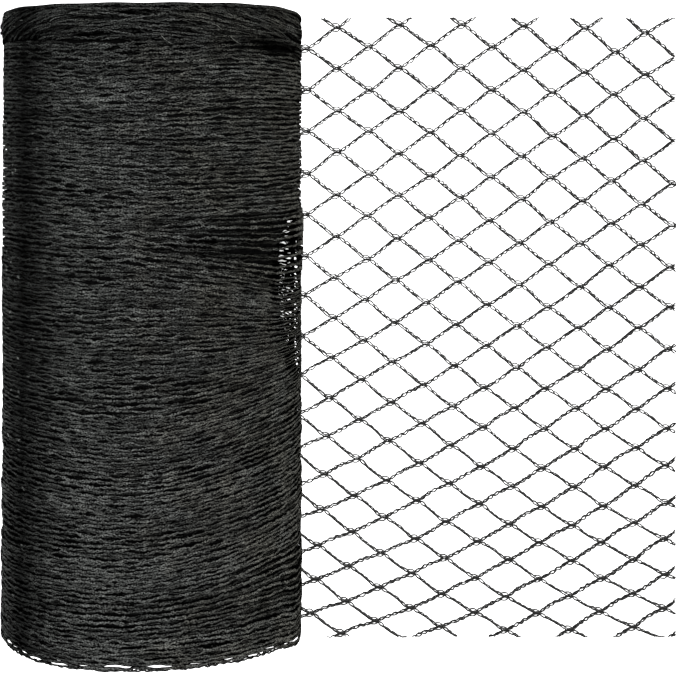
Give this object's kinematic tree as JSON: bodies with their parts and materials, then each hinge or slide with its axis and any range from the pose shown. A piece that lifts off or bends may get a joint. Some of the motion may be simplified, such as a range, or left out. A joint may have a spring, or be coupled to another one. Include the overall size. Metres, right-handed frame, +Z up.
{
  "type": "bird netting roll",
  "caption": "Roll of dark knitted diamond-mesh bird netting lying on its side, with its loose end laid out flat.",
  "frame": {"origin": "middle of the flat underside of the roll, on the floor", "axes": "+Z up; the roll's axis runs along Y; the loose end of the net lies on the floor towards +X"},
  "size_m": [0.3287, 0.3232, 0.132],
  "materials": {
    "wound_netting": "knitted polyethylene netting, black-grey, matt with a faint sheen",
    "loose_netting": "single layer of knitted polyethylene netting, near black, faint sheen"
  },
  "bodies": {
    "root": {"wound_roll": "wound_netting", "loose_net": "loose_netting"}
  },
  "joints": []
}
